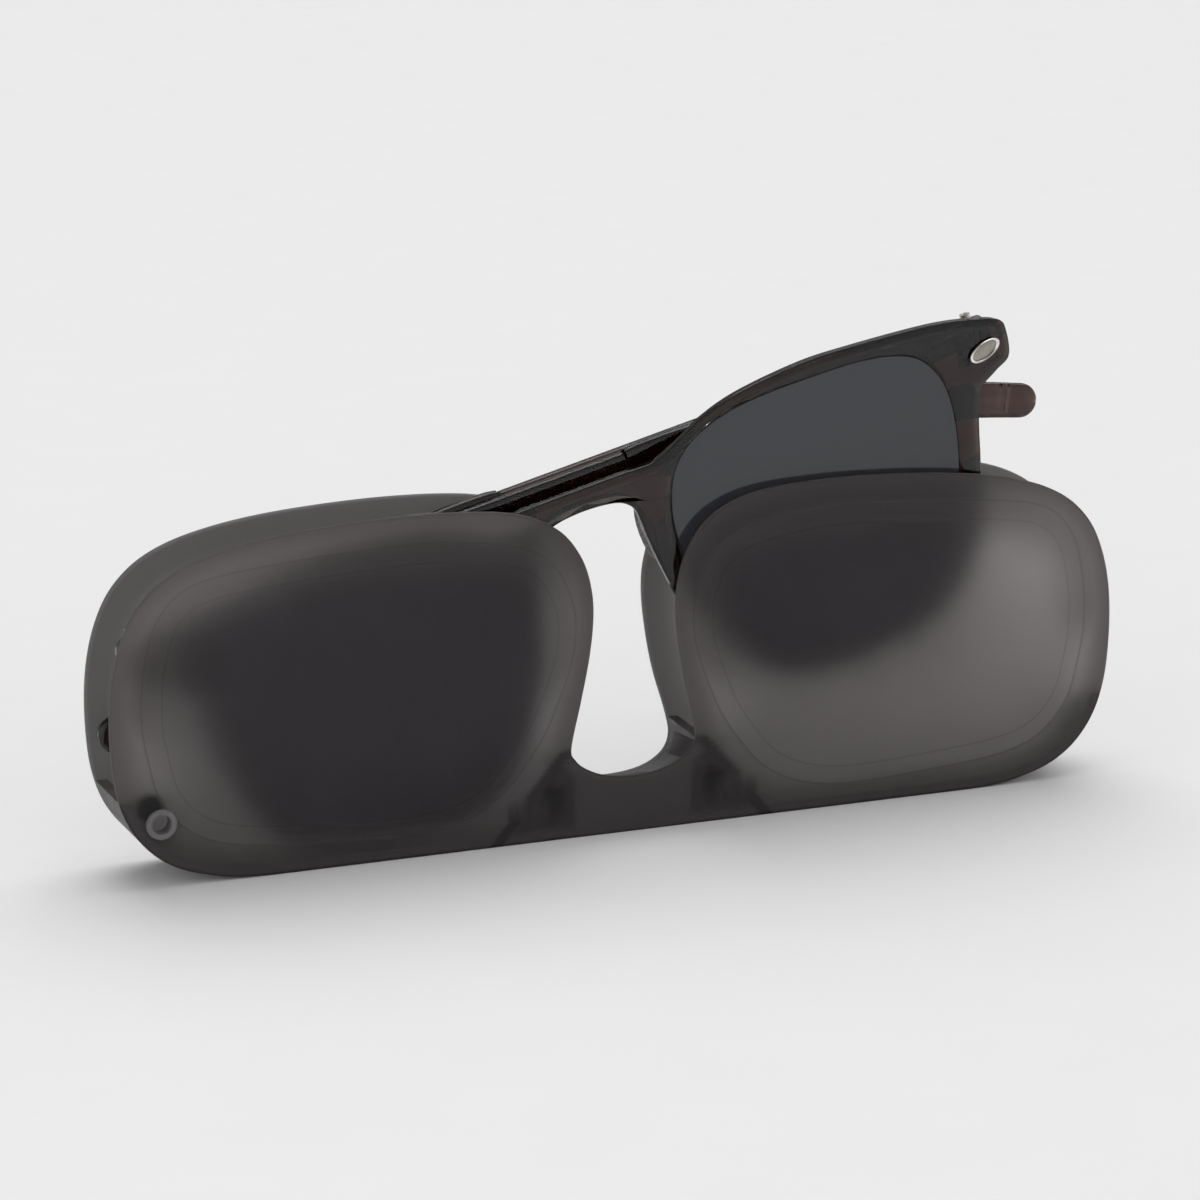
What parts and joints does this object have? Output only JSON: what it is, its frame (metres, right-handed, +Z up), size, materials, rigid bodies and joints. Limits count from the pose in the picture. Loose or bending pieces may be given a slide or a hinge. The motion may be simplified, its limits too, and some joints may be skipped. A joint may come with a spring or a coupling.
{
  "type": "sunglasses in slip case",
  "caption": "Slim folding sunglasses with grey lenses, half drawn out of a frosted soft slip case shaped like a pair of goggles.",
  "frame": {"origin": "middle of the case's flat underside, on the surface it stands on", "axes": "+X to the viewer's right, -Y out of the case's front, +Z up"},
  "size_m": [0.15, 0.0134, 0.0687],
  "materials": {
    "soft_shell": "frosted smoky translucent, satin",
    "smoke_frame": "polished smoky brown translucent",
    "lens": "polished grey tint",
    "nose_pad": "clear smoky silicone",
    "hinge_metal": "satin nickel",
    "plaque_metal": "bright rim with a pewter middle"
  },
  "bodies": {
    "case": {"case_back_wall": "soft_shell", "case_base": "soft_shell", "lanyard_eyelet": "soft_shell", "left_inner_stud": "soft_shell", "right_inner_stud": "soft_shell", "left_slit_boss": "soft_shell", "right_slit_boss": "soft_shell"},
    "left_flap": {"left_front_flap": "soft_shell"},
    "right_flap": {"right_front_flap": "soft_shell"},
    "glasses": {"front_frame": "smoke_frame", "left_lens": "lens", "right_lens": "lens", "left_nose_pad": "nose_pad", "right_nose_pad": "nose_pad", "left_rivet_plaque": "plaque_metal", "right_rivet_plaque": "plaque_metal", "left_front_hinge": "hinge_metal", "right_front_hinge": "hinge_metal", "left_hinge_screw": "hinge_metal", "right_hinge_screw": "hinge_metal"},
    "left_temple": {"left_temple_hinge": "hinge_metal", "left_temple_bar": "smoke_frame", "left_temple_sleeve": "smoke_frame"},
    "right_temple": {"right_temple_hinge": "hinge_metal", "right_temple_bar": "smoke_frame", "right_temple_sleeve": "smoke_frame"}
  },
  "joints": [
    {"name": "glasses_lift", "type": "slide", "parent": "case", "child": "glasses", "axis": [0, 0, 1], "range_m": [0, 0.06]},
    {"name": "left_temple_fold", "type": "hinge", "parent": "glasses", "child": "left_temple", "pos_m": [-0.06969, -0.00085, 0.03184], "axis": [-0.2588, 0, 0.9659], "range_deg": [0, 90], "deforming": ["case_back_wall"]},
    {"name": "right_temple_fold", "type": "hinge", "parent": "glasses", "child": "right_temple", "pos_m": [0.05472, 0.00145, 0.06518], "axis": [0.2588, 0, -0.9659], "range_deg": [0, 90]},
    {"name": "left_flap_flex", "type": "hinge", "parent": "case", "child": "left_flap", "pos_m": [0, -0.00615, 0.0127], "axis": [1, 0, 0], "range_deg": [0, 14], "stiffness_Nm_per_rad": 0.02},
    {"name": "right_flap_flex", "type": "hinge", "parent": "case", "child": "right_flap", "pos_m": [0, -0.00615, 0.0127], "axis": [1, 0, 0], "range_deg": [0, 14], "stiffness_Nm_per_rad": 0.02}
  ]
}
